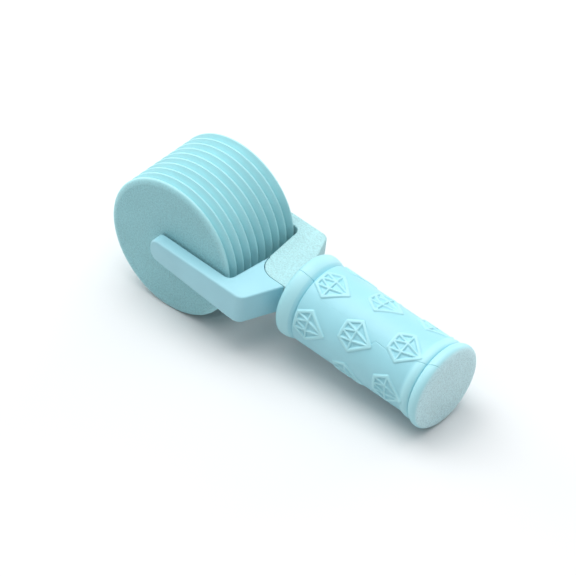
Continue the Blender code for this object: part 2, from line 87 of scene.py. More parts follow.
# Roller
ROLLER_RADIUS = (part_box("roller_drum")[1].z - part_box("roller_drum")[0].z) / 2
FACE_HALF_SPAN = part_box("roller_drum")[1].y
RIDGE_COUNT = 10
RIDGE_PITCH = 0.00303
GROOVE_DEPTH = 0.0022
GROOVE_ROUND = 0.00035           # radius of a groove's floor
CREST_ROUND = 0.00030
RIM_START = math.radians(20)     # how far the rim turns away from the flat face at once
FACE_RADIUS = 0.02024
DRUM_BORE_RADIUS = 0.0184
COVER_THICKNESS = 0.0012
COVER_SEAT_DEPTH = 0.0015
HUB_RADIUS = 0.0046
THRUST_BOSS_RADIUS = 0.0032
THRUST_BOSS_HEIGHT = 0.0002
THRUST_BOSS_BEVEL = 0.00012
AXLE_RADIUS = 0.0025

# Fork
ARM_INNER = 0.0151
ARM_OUTER = 0.0189
ARM_TIP_RADIUS = 0.0036
ARM_TIP_SQUARENESS = 3.5         # 2 would make the tip's upper corner a plain arc
FORK_TOP = 0.0042
FORK_BOTTOM = -0.0055
LAP_PLANE = -0.0007
THROAT_APEX_X = 0.0245
THROAT_SLOPE = 0.10
THROAT_FILLET = 0.0022
SHOULDER_CORNER_X = 0.0304
SHOULDER_SLOPE = 0.385
SHOULDER_FILLET = 0.0028
TAPER_END_X = 0.0264
LOBE_RADIUS = 0.0058
LOBE_SET_BACK = 0.0005           # of the lobe's corner behind the throat
LOBE_GROWTH = 0.00007            # narrows the CAD's gap at the lap to a seam
TANG_HALF_WIDTH = 0.0059
TANG_END_X = 0.0640
NOTCH_START_X = 0.0540
NOTCH_END_X = 0.0575
NOTCH_HALF_WIDTH = 0.0044
SOCKET_DEPTH = 0.0022
OUTER_EDGE_ROUND = 0.0006
INNER_EDGE_ROUND = 0.00025
SEAM_EDGE_ROUND = 0.00006

# Grip
GRIP_FRONT_X = 0.0380
COLLAR_CENTRE_X = 0.0400
COLLAR_TUBE_RADIUS = 0.0020
COLLAR_RADIUS = 0.01305
COLLAR_FULLNESS = 1.4            # 1 would make the collar's rear flank a plain ellipse
VALLEY_X = 0.0440
VALLEY_RADIUS = 0.0114
BODY_START_X = 0.0444
BODY_RADIUS = 0.0122
BODY_END_X = 0.0832
BEAD_X = 0.0857
BEAD_RADIUS = 0.01275
GROOVE_X = 0.0872
GROOVE_RADIUS = 0.0119
BEAD_FULLNESS = 1.2              # of the run from the bead down into the groove
FLANGE_X = 0.0893
FLANGE_RADIUS = 0.01344
END_FACE_RADIUS = 0.0097
END_ROUND_FULLNESS = 0.5         # 1 would make the flange's rounding a plain ellipse
GRIP_BORE_RADIUS = 0.0090
FRONT_WALL = 0.0035
WEB_START_X = 0.0543
WEB_END_X = 0.0572
WEB_HALF_WIDTH = 0.0047
BORE_STEP = 0.00003              # length over which the bore changes shape
CAP_THICKNESS = 0.0020
CAP_SPIGOT_LENGTH = 0.0050
REAR_SEAM_ANGLE = math.radians(148.6)
SEAM_GROOVE_WIDTH = 0.00024      # on each side of the parting line
SEAM_GROOVE_DEPTH = 0.00009
SEAM_NOTCH_LENGTH = 0.0006       # where the line crosses the valley behind the collar
SEAM_NOTCH_SHARE = 2.0           # the notch's depth as a share of the full groove's
SEAM_COLUMNS = 5                 # columns of points across the groove on each side
SEAM_MARGIN = 1.5                # plain columns start this many groove widths from the line

# Gem relief
GEM_SPACING = math.radians(67)   # round the grip
GEM_ROWS = [                     # axial place of the table edge, angle of the first gem, gem count
    (0.0453, math.radians(-77.5), 5),
    (0.0600, math.radians(-185.5), 5),
    (0.0746, math.radians(-94.0), 4),
]
GEM_CROWN = 0.0040
GEM_CULET = (0.0099, 0.0)
GEM_TABLE_HALF = 0.0024
GEM_GIRDLE_HALF = 0.00465
GEM_OUTLINE_WIDTH = 0.00092
GEM_FACET_WIDTH = 0.00066
GEM_FLANK = 0.00042
GEM_HEIGHT = 0.00036
GEM_POCKET_DEPTH = 0.00010
GEM_MARGIN = 0.001               # reach of the relief past a gem's corners

# Parting line that steps round the gems: distance from the axle, degrees from the grip's top
FRONT_SEAM = [
    (0.0370, -20.0), (0.0440, -20.5), (0.0451, -25.5), (0.0491, -37.5), (0.0590, -37.0),
    (0.0638, -25.5), (0.0698, -47.5), (0.0703, -41.5), (0.0742, -42.5), (0.0784, -54.0),
    (0.0840, -33.5), (0.0872, -29.5), (0.0925, -22.0),
]
SEAM_STEP_DEGREES = 4.5

# How open the parting line is: distance from the axle, share of its full groove
SEAM_OPENING = [
    (0.0440, 1.6), (0.0446, 0.1), (0.0694, 0.1), (0.0697, 1.2), (0.0745, 1.2), (0.0765, 0.3),
    (0.0836, 0.3), (0.0845, 1.6),
]

# Camera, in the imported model's frame
VIEW_TARGET = Vector((-0.0029, 0.0, 0.01646))
VIEW_AZIMUTH = math.radians(39.99)
VIEW_ELEVATION = math.radians(39.96)
VIEW_ROLL = math.radians(1.69)
VIEW_DISTANCE = 1.4076
LENS_MM = 312.0
SENSOR_MM = 36.0
CLIP_START = 0.1
CLIP_END = 20.0

# Studio: name, azimuth from +Y towards +X and elevation in degrees, watts
STUDIO_LIGHTS = [
    ("overhead", 0, 90, 9.2),
    ("side", 270, 62, 13.2),
    ("backdrop_left", 270, 10, 19.3),
    ("backdrop_right", 0, 10, 15.0),
]
LIGHT_SIZE = 1.4
LIGHT_DISTANCE = 2.0
DOME_STRENGTH = 1.75
DOME_COLOUR = (0.96, 1.0, 1.03)
DOME_FALLOFF = 2.0
FLOOR_REACH = 4.0
FLOOR_COLOUR = (0.72, 0.72, 0.72)
FLOOR_ROUGHNESS = 0.9
FLOOR_SPECULAR = 0.1

# Plastic: one pigment, whose shade depends on each piece's finish; the end disc's paler tint is painted sheen and
# the gem ribs' lighter tint painted highlight
DRUM_AQUA = (0.39, 0.71, 0.75)
FACE_AQUA = (0.303, 0.612, 0.655)
FORK_AQUA = (0.335, 0.625, 0.70)
GRAINED_AQUA = (0.425, 0.695, 0.715)
GRIP_AQUA = (0.325, 0.655, 0.73)
# painted highlight: the gem ribs are painted lighter than the grip, as if light caught their tops
RIB_HIGHLIGHT_AQUA = (0.385, 0.71, 0.765)
# painted sheen: the end disc's aqua is whitened like a reflection seen at a grazing view
END_AQUA_AND_SHEEN = (0.61, 0.86, 0.90)
# each finish's last value is how strongly painted shade darkens its grain's hollows
SATIN = {"roughness": 0.42, "grain_depth": 0.00001, "painted_hollow_shade": 0.02}
FACE_GRAIN = {"roughness": 0.55, "grain_depth": 0.00028, "painted_hollow_shade": 0.50}
FORK_GRAIN = {"roughness": 0.55, "grain_depth": 0.00030, "painted_hollow_shade": 0.48}
END_GRAIN = {"roughness": 0.55, "grain_depth": 0.00030, "painted_hollow_shade": 0.45}
GRAIN_SIZE = 0.00052
GRAIN_SPREAD = (0.30, 0.60)      # noise values from full painted shade in the hollows to none
HOLLOW_PAINTED_SHADE = 0.55               # painted shade: the pigment's shade in the grain's hollows
CLOUD_SIZE = 0.012
CLOUD_SHADES = (0.965, 1.03)
GLOSS_PATCH_SIZE = 0.0035
GLOSS_SPREAD = (-0.05, 0.06)     # added to the roughness
WAVE_SIZE = 0.006
WAVE_DEPTH = 0.00003
PLASTIC_IOR = 1.49

# Where a piece's look changes: the drum's rim looks like its face, the flange's rounding takes the end
# disc's painted sheen, and what stands out of the grip gets a lighter painted highlight
RIM_LOOK = (0.0140, 0.0145)      # from the middle plane
FLANGE_SHEEN_LOOK = (0.0903, 0.0909)   # from the axle
RIB_HIGHLIGHT_LOOK = (BODY_RADIUS + 0.00010, BODY_RADIUS + 0.00030)
AXLE_DIRECTION = (0.0, 1.0, 0.0)
GRIP_DIRECTION = TOOL.to_3x3().col[0]
RIM_EDGE = (FACE_AQUA, FACE_GRAIN["painted_hollow_shade"], (0.0, 0.0, 0.0), AXLE_DIRECTION, *RIM_LOOK)
# painted sheen on the flange's rounding, in the end disc's whitened aqua
FLANGE_SHEEN = (END_AQUA_AND_SHEEN, END_GRAIN["painted_hollow_shade"], AXLE, GRIP_DIRECTION, *FLANGE_SHEEN_LOOK)
# painted highlight on the ribs and outlines that stand out of the grip
RIB_HIGHLIGHT = (RIB_HIGHLIGHT_AQUA, AXLE, GRIP_DIRECTION, *RIB_HIGHLIGHT_LOOK)

# Steel of the axle
STEEL_DARK = (0.50, 0.51, 0.53)
STEEL_BRIGHT = (0.66, 0.67, 0.69)
STEEL_ROUGHNESS = (0.22, 0.38)
STEEL_LINE_SIZE = 0.0002
STEEL_LINE_DEPTH = 0.000005
STEEL_LINE_STRETCH = 0.04        # scale along the axle against across it


# ---------------------------------------------------------------- materials


def add_noise(tree, coordinates, feature_size, detail=2.0, roughness=0.5):
    """Noise with features of a size in metres."""
    noise = tree.nodes.new("ShaderNodeTexNoise")
    noise.inputs["Scale"].default_value = 1.0 / feature_size
    noise.inputs["Detail"].default_value = detail
    noise.inputs["Roughness"].default_value = roughness
    tree.links.new(coordinates, noise.inputs["Vector"])
    return noise.outputs["Fac"]


def add_range(tree, value, low, high, start=0.3, end=0.7):
    """Maps a value from a spread, by default a noise's usual one, to a range."""
    mapped = tree.nodes.new("ShaderNodeMapRange")
    mapped.inputs["From Min"].default_value = start
    mapped.inputs["From Max"].default_value = end
    mapped.inputs["To Min"].default_value = low
    mapped.inputs["To Max"].default_value = high
    tree.links.new(value, mapped.inputs["Value"])
    return mapped.outputs["Result"]


def add_mix(tree, factor, first, second):
    """Colour between two colours by a factor; a colour is a tuple or another node's output."""
    mix = tree.nodes.new("ShaderNodeMix")
    mix.data_type = "RGBA"
    tree.links.new(factor, mix.inputs["Factor"])
    for name, colour in (("A", first), ("B", second)):
        socket = next(s for s in mix.inputs if s.name == name and s.type == "RGBA")
        if isinstance(colour, tuple):
            socket.default_value = (*colour, 1.0)
        else:
            tree.links.new(colour, socket)
    return next(s for s in mix.outputs if s.type == "RGBA")


def add_bump(tree, height, depth, normal=None):
    """Normal bumped by a height from 0 to 1 that is so many metres deep."""
    bump = tree.nodes.new("ShaderNodeBump")
    bump.inputs["Strength"].default_value = 1.0
    bump.inputs["Distance"].default_value = depth
    tree.links.new(height, bump.inputs["Height"])
    if normal:
        tree.links.new(normal, bump.inputs["Normal"])
    return bump.outputs["Normal"]


def shade(colour, factor):
    return tuple(channel * factor for channel in colour)


def add_vector_step(tree, operation, first, second=None):
    """Vector operation on an output, with a fixed second vector."""
    step = tree.nodes.new("ShaderNodeVectorMath")
    step.operation = operation
    tree.links.new(first, step.inputs[0])
    if second is not None:
        step.inputs[1].default_value = second
    return step


def add_reach(tree, coordinates, origin, direction, start, end):
    """How far a place is past a start along a line, from 0 to 1, on both sides of the line's origin."""
    offset = add_vector_step(tree, "SUBTRACT", coordinates, origin)
    along = add_vector_step(tree, "DOT_PRODUCT", offset.outputs["Vector"], direction)
    size = tree.nodes.new("ShaderNodeMath")
    size.operation = "ABSOLUTE"
    tree.links.new(along.outputs["Value"], size.inputs[0])
    return add_range(tree, size.outputs["Value"], 0.0, 1.0, start, end)


def add_standing_out(tree, coordinates, origin, direction, start, end):
    """How far a place is past a start away from an axis, from 0 to 1."""
    offset = add_vector_step(tree, "SUBTRACT", coordinates, origin)
    across = add_vector_step(tree, "CROSS_PRODUCT", offset.outputs["Vector"], direction)
    size = add_vector_step(tree, "LENGTH", across.outputs["Vector"])
    return add_range(tree, size.outputs["Value"], 0.0, 1.0, start, end)


def moulded_plastic(name, colour, roughness, grain_depth, painted_hollow_shade, edge=None, rib_highlight=None):
    """Moulded plastic: clouding in the pigment, uneven gloss, faint flow waves and the mould's grain, with painted
    shade in the grain's hollows.

    An edge, (colour, painted hollow shade, origin, direction, start, end), is another look that sets in between
    two distances along a line. A painted highlight colour, (colour, origin, direction, start, end), sets in
    between two distances from an axis.
    """
    material = bpy.data.materials.new(name)
    material.use_nodes = True
    tree = material.node_tree
    shader = tree.nodes["Principled BSDF"]
    coordinates = tree.nodes.new("ShaderNodeTexCoord").outputs["Object"]

    clouds = add_range(tree, add_noise(tree, coordinates, CLOUD_SIZE, detail=3), 0.0, 1.0)
    grain = add_noise(tree, coordinates, GRAIN_SIZE, detail=2.5, roughness=0.6)
    clouded = add_mix(tree, clouds, *[shade(colour, factor) for factor in CLOUD_SHADES])
    # painted shade: the grain's hollows are darkened
    grain_share = add_range(tree, grain, painted_hollow_shade, 0.0, *GRAIN_SPREAD)
    # painted highlight: what stands out of the grip is painted lighter
    if rib_highlight:
        highlight_colour, *line = rib_highlight
        clouded = add_mix(
            tree, add_standing_out(tree, coordinates, *line), clouded, highlight_colour
        )
    # an edge look can carry painted sheen, as on the flange's rounding
    if edge:
        edge_colour, edge_hollow_shade, *line = edge
        reach = add_reach(tree, coordinates, *line)
        clouded = add_mix(tree, reach, clouded, edge_colour)
        tree.links.new(
            add_range(tree, reach, painted_hollow_shade, edge_hollow_shade, 0.0, 1.0), grain_share.node.inputs["To Min"]
        )
    shader.inputs["Base Color"].default_value = (*colour, 1.0)
    # painted shade in the grain's hollows is mixed into the base colour
    tree.links.new(
        add_mix(tree, grain_share, clouded, shade(colour, HOLLOW_PAINTED_SHADE)), shader.inputs["Base Color"]
    )

    gloss = add_noise(tree, coordinates, GLOSS_PATCH_SIZE, detail=3)
    glossiest, dullest = [roughness + change for change in GLOSS_SPREAD]
    tree.links.new(add_range(tree, gloss, glossiest, dullest), shader.inputs["Roughness"])
    waves = add_bump(tree, add_noise(tree, coordinates, WAVE_SIZE, detail=1), WAVE_DEPTH)
    tree.links.new(add_bump(tree, grain, grain_depth, waves), shader.inputs["Normal"])
    shader.inputs["IOR"].default_value = PLASTIC_IOR
    return material


def drawn_steel(name):
    """Bright steel rod with fine lines along its length."""
    material = bpy.data.materials.new(name)
    material.use_nodes = True
    tree = material.node_tree
    shader = tree.nodes["Principled BSDF"]
    shader.inputs["Metallic"].default_value = 1.0
    coordinates = tree.nodes.new("ShaderNodeTexCoord").outputs["Object"]
    stretch = tree.nodes.new("ShaderNodeMapping")
    stretch.inputs["Scale"].default_value = (1.0, STEEL_LINE_STRETCH, 1.0)
    tree.links.new(coordinates, stretch.inputs["Vector"])
    lines = add_noise(tree, stretch.outputs["Vector"], STEEL_LINE_SIZE, detail=3)
    tree.links.new(
        add_mix(tree, add_range(tree, lines, 0, 1), STEEL_DARK, STEEL_BRIGHT),
        shader.inputs["Base Color"],
    )
    tree.links.new(add_range(tree, lines, *STEEL_ROUGHNESS), shader.inputs["Roughness"])
    tree.links.new(add_bump(tree, lines, STEEL_LINE_DEPTH), shader.inputs["Normal"])
    return material


# ---------------------------------------------------------------- mesh helpers


def finish_piece(thing, node, body, sharp_degrees=SHARP_DEGREES):
    """Shade and hand over a fine piece that stands for one CAD node."""
    thing.data.shade_smooth()
    thing.data.set_sharp_from_angle(angle=math.radians(sharp_degrees))
    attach(thing, body)
    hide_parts(node)


def new_piece(name, points, faces, material):
    """Mesh object from points in the tool's frame."""
    mesh = bpy.data.meshes.new(name)
    mesh.from_pydata([tuple(point) for point in points], [], faces)
    mesh.transform(TOOL)
    mesh.materials.append(material)
    mesh.update()
    thing = bpy.data.objects.new(name, mesh)
    bpy.context.scene.collection.objects.link(thing)
    return thing


def point_outward(thing):
    shape = bmesh.new()
    shape.from_mesh(thing.data)
    bmesh.ops.recalc_face_normals(shape, faces=shape.faces)
    shape.to_mesh(thing.data)
    shape.free()


def revolve(name, profile, axis, material):
    """Solid of revolution from a closed (distance along the axis, radius) outline."""
    points, rings, faces = [], [], []
    for along, radius in profile:
        count = TURNED_SEGMENTS if radius > 0 else 1
        rings.append([len(points) + step for step in range(count)])
        for step in range(count):
            angle = 2 * math.pi * step / TURNED_SEGMENTS
            side, up = radius * math.sin(angle), radius * math.cos(angle)
            points.append((along, side, up) if axis == "X" else (side, along, up))
    for ring, following in zip(rings, rings[1:] + rings[:1]):
        for step in range(TURNED_SEGMENTS):
            corners = [
                ring[step % len(ring)],
                ring[(step + 1) % len(ring)],
                following[(step + 1) % len(following)],
                following[step % len(following)],
            ]
            corners = list(dict.fromkeys(corners))
            if len(corners) > 2:
                faces.append(corners)
    thing = new_piece(name, points, faces, material)
    point_outward(thing)
    return thing


def prism(name, outline, low, high, plane="XY"):
    """Straight extrusion of a closed outline, in XY along Z or in XZ along Y."""
    count = len(outline)
    points = []
    for level in (low, high):
        for first, second in outline:
            points.append((first, second, level) if plane == "XY" else (first, level, second))
    faces = [
        (index, (index + 1) % count, (index + 1) % count + count, index + count)
        for index in range(count)
    ]
    faces += [list(range(count)), list(range(count, 2 * count))]
    mesh = bpy.data.meshes.new(name)
    mesh.from_pydata(points, [], faces)
    thing = bpy.data.objects.new(name, mesh)
    bpy.context.scene.collection.objects.link(thing)
    point_outward(thing)
    return thing


def bake_modifiers(thing):
    """Replace an object's mesh by its evaluated one."""
    graph = bpy.context.evaluated_depsgraph_get()
    result = bpy.data.meshes.new_from_object(thing.evaluated_get(graph))
    thing.modifiers.clear()
    thing.data = result


def boolean(thing, operation, cutter):
    step = thing.modifiers.new(cutter.name, "BOOLEAN")
    step.operation = operation
    step.solver = "EXACT"
    step.object = cutter
    bake_modifiers(thing)
    bpy.data.objects.remove(cutter, do_unlink=True)


def arc(centre, radius, start, end, steps):
    """Points of an arc, angles in degrees."""
    points = []
    for step in range(steps + 1):
        angle = math.radians(start + (end - start) * step / steps)
        points.append((centre[0] + radius * math.cos(angle), centre[1] + radius * math.sin(angle)))
    return points


def fillet(before, corner, after, radius, steps):
    """Arc that rounds the corner between two straight edges."""
    before, corner, after = Vector(before), Vector(corner), Vector(after)
    to_before = (before - corner).normalized()
    to_after = (after - corner).normalized()
    half = to_before.angle(to_after) / 2
    centre = corner + (to_before + to_after).normalized() * (radius / math.sin(half))
    first = corner + to_before * (radius / math.tan(half)) - centre
    last = corner + to_after * (radius / math.tan(half)) - centre
    start = math.degrees(math.atan2(first.y, first.x))
    sweep = math.degrees(math.atan2(last.y, last.x)) - start
    sweep = (sweep + 180) % 360 - 180
    return arc(centre, radius, start, start + sweep, steps)


def blend(start, end, steps):
    """Smooth S-shaped run between two (along, radius) points, without its first point."""
    points = []
    for step in range(1, steps + 1):
        share = step / steps
        weight = (1 - math.cos(math.pi * share)) / 2
        along = start[0] + (end[0] - start[0]) * share
        points.append((along, start[1] + (end[1] - start[1]) * weight))
    return points


# ---------------------------------------------------------------- roller


def groove(middle):
    """One groove from crest to crest: straight walls between round crests and a round floor."""
    drop = GROOVE_DEPTH - CREST_ROUND - GROOVE_ROUND
    half = RIDGE_PITCH / 2
    slope = math.atan2(drop, half) + math.asin((CREST_ROUND + GROOVE_ROUND) / math.hypot(drop, half))
    turn = math.degrees(slope)
    crest_level = ROLLER_RADIUS - CREST_ROUND
    floor_level = ROLLER_RADIUS - GROOVE_DEPTH + GROOVE_ROUND
    shoulder = arc((middle - half, crest_level), CREST_ROUND, 90, 90 - turn, CREST_STEPS)
    floor = arc((middle, floor_level), GROOVE_ROUND, 270 - turn, 270 + turn, FLOOR_STEPS)
    other = arc((middle + half, crest_level), CREST_ROUND, 90 + turn, 90, CREST_STEPS)
    return shoulder + floor + other[:-1]


def drum_profile():
    """Rim, ten ridges with grooves between them, second rim, then the cover seats and the bore."""
    first_crest = -RIDGE_PITCH * (RIDGE_COUNT - 1) / 2
    rim = []
    for step in range(RIM_STEPS + 1):
        angle = RIM_START + (math.pi / 2 - RIM_START) * step / RIM_STEPS
        inward = 1 - math.cos(angle) / math.cos(RIM_START)
        outward = (math.sin(angle) - math.sin(RIM_START)) / (1 - math.sin(RIM_START))
        rim.append((
            -FACE_HALF_SPAN + (first_crest + FACE_HALF_SPAN) * inward,
            FACE_RADIUS + (ROLLER_RADIUS - FACE_RADIUS) * outward,
        ))
    profile = rim[:-1]
    for ridge in range(RIDGE_COUNT - 1):
        profile += groove(first_crest + RIDGE_PITCH * (ridge + 0.5))
    profile += [(-along, radius) for along, radius in reversed(rim)]
    seat = FACE_HALF_SPAN - COVER_SEAT_DEPTH
    profile += [(seat, FACE_RADIUS), (seat, DRUM_BORE_RADIUS)]
    profile += [(-seat, DRUM_BORE_RADIUS), (-seat, FACE_RADIUS)]
    return profile


def cover_profile():
    """Disc with a hub sleeve inside and a low thrust boss outside, for the +Y end."""
    bore = AXLE_RADIUS + GAP
    back = FACE_HALF_SPAN - COVER_THICKNESS
    edge = FACE_RADIUS - HAIRLINE
    boss_top = FACE_HALF_SPAN + THRUST_BOSS_HEIGHT
    return [
        (GAP / 2, bore),
        (GAP / 2, HUB_RADIUS),
        (back, HUB_RADIUS),
        (back, edge),
        (FACE_HALF_SPAN, edge),
        (FACE_HALF_SPAN, THRUST_BOSS_RADIUS),
        (boss_top - THRUST_BOSS_BEVEL, THRUST_BOSS_RADIUS),
        (boss_top, THRUST_BOSS_RADIUS - THRUST_BOSS_BEVEL),
        (boss_top, bore),
    ]


def make_roller(smooth, grained):
    drum = revolve("drum_ridges", drum_profile(), "Y", smooth)
    finish_piece(drum, "roller_drum", "roller")
    for side, sign in (("left", -1), ("right", 1)):
        profile = [(sign * along, radius) for along, radius in cover_profile()]
        cover = revolve(f"drum_face_{side}", profile, "Y", grained)
        finish_piece(cover, f"roller_cover_{side}", "roller")


# ---------------------------------------------------------------- fork


def throat_x(outward):
    return THROAT_APEX_X - THROAT_SLOPE * outward


def shoulder_x(outward):
    return SHOULDER_CORNER_X + SHOULDER_SLOPE * (ARM_OUTER - outward)


def lobe_edge(grow):
    """Round corner of a lapped lobe and its straight edge, on the far side of the middle plane."""
    centre = (THROAT_APEX_X + LOBE_SET_BACK + LOBE_RADIUS, 0.0)
    corner = arc(centre, LOBE_RADIUS + grow, 180, 270, ROUND_STEPS)
    return corner + [(TANG_END_X, -LOBE_RADIUS - grow)]


def half_outline(has_cusp):
    """Plan of one fork half, whose second coordinate grows towards its own arm.

    A cusp runs out to the middle plane. The side view shapes the tip.
    """
    tip = -ARM_TIP_RADIUS - CUT_MARGIN
    throat_corner = (throat_x(ARM_INNER), ARM_INNER)
    shoulder_corner = (SHOULDER_CORNER_X, ARM_OUTER)
    neck = (shoulder_x(TANG_HALF_WIDTH), TANG_HALF_WIDTH)
    outline = lobe_edge(LOBE_GROWTH)
    outline += [(TANG_END_X, TANG_HALF_WIDTH), neck]
    outline += fillet(neck, shoulder_corner, (tip, ARM_OUTER), SHOULDER_FILLET, SHOULDER_STEPS)
    outline += [(tip, ARM_OUTER), (tip, ARM_INNER)]
    apex = (THROAT_APEX_X, 0.0)
    outline += fillet((tip, ARM_INNER), throat_corner, apex, THROAT_FILLET, THROAT_STEPS)
    outward = HAIRLINE if has_cusp else LOBE_SET_BACK
    return outline + [(throat_x(outward), outward)]


def tip_outline(steps):
    """Round arm tip whose upper corner is a little squarer than an arc."""
    centre_height = FORK_TOP - ARM_TIP_RADIUS
    power = 2 / ARM_TIP_SQUARENESS
    upper = []
    for step in range(steps):
        angle = math.pi / 2 * step / steps
        upper.append((
            -ARM_TIP_RADIUS * math.sin(angle) ** power,
            centre_height + ARM_TIP_RADIUS * math.cos(angle) ** power,
        ))
    return upper + arc((0.0, centre_height), ARM_TIP_RADIUS, 180, 260, steps)


def side_outline():
    """Round arm tip, flat top, and an underside that drops to full depth."""
    tip = tip_outline(ROUND_STEPS)
    end = TANG_END_X + GAP
    return tip + [(TAPER_END_X, FORK_BOTTOM), (end, FORK_BOTTOM), (end, FORK_TOP)]


def lap_outline(side):
    """Room that one half leaves for the other half's lobe."""
    lobe = [(along, -side * edge) for along, edge in lobe_edge(GAP)]
    outer = -side * (ARM_OUTER + CUT_MARGIN)
    behind = TANG_END_X + CUT_MARGIN
    front = THROAT_APEX_X - LOBE_RADIUS
    return lobe + [(behind, lobe[-1][1]), (behind, outer), (front, outer), (front, 0.0)]


def cut_socket(half, side):
    """Blind hole for the axle in the arm's inner face."""
    mouth, bottom = sorted((side * (ARM_INNER - GAP), side * (ARM_INNER + SOCKET_DEPTH)))
    circle = arc((0.0, 0.0), AXLE_RADIUS + GAP, 0, 360, SOCKET_SEGMENTS)[:-1]
    boolean(half, "DIFFERENCE", prism("socket", circle, mouth, bottom, "XZ"))


def cut_notches(half):
    """Notches in both edges of the tang, where the grip's web sits."""
    for sign in (-1, 1):
        near, far = sign * NOTCH_HALF_WIDTH, sign * (TANG_HALF_WIDTH + GAP)
        corners = [
            (NOTCH_START_X, near), (NOTCH_END_X, near), (NOTCH_END_X, far), (NOTCH_START_X, far),
        ]
        layer = (FORK_BOTTOM - CUT_MARGIN, FORK_TOP + CUT_MARGIN)
        boolean(half, "DIFFERENCE", prism("notch", corners, *layer))


def edge_round(edge, side):
    """Radius for one sharp edge of a fork half, by where it lies."""
    middle = (edge.verts[0].co + edge.verts[1].co) / 2
    outward = middle.y * side
    if outward < LOBE_RADIUS + GAP * 2 and middle.x > THROAT_APEX_X - GAP:
        return SEAM_EDGE_ROUND
    on_outer_face = outward > ARM_OUTER - GAP
    on_shoulder = middle.x > shoulder_x(max(outward, TANG_HALF_WIDTH)) - SHOULDER_FILLET
    if on_outer_face or on_shoulder:
        return OUTER_EDGE_ROUND
    return INNER_EDGE_ROUND


def round_edges(thing, side):
    """Bevel every sharp edge by its own radius."""
    shape = bmesh.new()
    shape.from_mesh(thing.data)
    bmesh.ops.remove_doubles(shape, verts=shape.verts, dist=TINY)
    bmesh.ops.dissolve_limit(
        shape, angle_limit=math.radians(FLAT_DEGREES), verts=shape.verts, edges=shape.edges
    )
    weights = shape.edges.layers.float.new("bevel_weight_edge")
    for edge in shape.edges:
        if len(edge.link_faces) == 2 and edge.calc_face_angle() > math.radians(EDGE_DEGREES):
            edge[weights] = edge_round(edge, side) / OUTER_EDGE_ROUND
    shape.to_mesh(thing.data)
    shape.free()
    bevel = thing.modifiers.new("edges", "BEVEL")
    bevel.limit_method = "WEIGHT"
    bevel.width = OUTER_EDGE_ROUND
    bevel.segments = BEVEL_SEGMENTS
    bevel.use_clamp_overlap = False
    normals = thing.modifiers.new("normals", "WEIGHTED_NORMAL")
    normals.keep_sharp = True
    bake_modifiers(thing)


def make_fork(materials):
    for name, side, lobe_is_on_top in (("left", -1, False), ("right", 1, True)):
        outline = [(along, side * outward) for along, outward in half_outline(not lobe_is_on_top)]
        half = prism(f"fork_{name}", outline, FORK_BOTTOM, FORK_TOP)
        width = ARM_OUTER + CUT_MARGIN
        boolean(half, "INTERSECT", prism("sides", side_outline(), -width, width, "XZ"))
        if lobe_is_on_top:
            layer = (FORK_BOTTOM - CUT_MARGIN, LAP_PLANE + GAP / 2)
        else:
            layer = (LAP_PLANE - GAP / 2, FORK_TOP + CUT_MARGIN)
        boolean(half, "DIFFERENCE", prism("lap", lap_outline(side), *layer))
        cut_socket(half, side)
        cut_notches(half)
        round_edges(half, side)
        half.data.transform(TOOL)
        half.data.materials.append(materials[name])
        finish_piece(half, f"fork_half_{name}", "handle")


# ---------------------------------------------------------------- grip


def quarter(corner, centre, fullness, steps):
    """Quarter of an oval from above its centre to beside it; a lower fullness is rounder.

    The corner is that of the box round the quarter.
    """
    points = []
    for step in range(steps + 1):
        angle = math.pi / 2 * step / steps
        points.append((
            centre[0] + (corner[0] - centre[0]) * math.sin(angle),
            centre[1] + (corner[1] - centre[1]) * max(math.cos(angle), 0.0) ** fullness,
        ))
    return points


def grip_outline():
    """Collar, valley, plain body, bead, groove and round-edged flange, as (along, radius) points."""
    tube = (COLLAR_CENTRE_X, COLLAR_RADIUS - COLLAR_TUBE_RADIUS)
    outline = arc(tube, COLLAR_TUBE_RADIUS, 180, 90, ROUND_STEPS)
    foot = (COLLAR_CENTRE_X, VALLEY_RADIUS)
    flank = quarter((VALLEY_X, COLLAR_RADIUS), foot, COLLAR_FULLNESS, ROUND_STEPS)
    outline += flank[1:]
    outline += [(BODY_START_X, BODY_RADIUS), (BODY_END_X, BODY_RADIUS)]
    outline += blend(outline[-1], (BEAD_X, BEAD_RADIUS), BEAD_STEPS)
    foot = (BEAD_X, GROOVE_RADIUS)
    outline += quarter((GROOVE_X, BEAD_RADIUS), foot, BEAD_FULLNESS, BEAD_STEPS)[1:]
    foot = (FLANGE_X, GROOVE_RADIUS)
    outline += quarter((GROOVE_X, FLANGE_RADIUS), foot, 1, BEAD_STEPS)[-2::-1]
    foot = (FLANGE_X, END_FACE_RADIUS + HAIRLINE * 2)
    outline += quarter((END_X, FLANGE_RADIUS), foot, END_ROUND_FULLNESS, END_ROUND_STEPS)[1:]
    return np.array(outline)


def even_steps(outline, step):
    """The same outline with points a given step apart."""
    lengths = np.concatenate([[0.0], np.cumsum(np.hypot(*np.diff(outline, axis=0).T))])
    places = np.linspace(0.0, lengths[-1], int(lengths[-1] / step) + 1)
    return np.stack([np.interp(places, lengths, outline[:, axis]) for axis in (0, 1)], axis=1)


def seam_angle(along):
    """Angle of the stepped parting line from the grip's top."""
    places, degrees = zip(*FRONT_SEAM)
    return np.radians(np.interp(along, places, degrees))


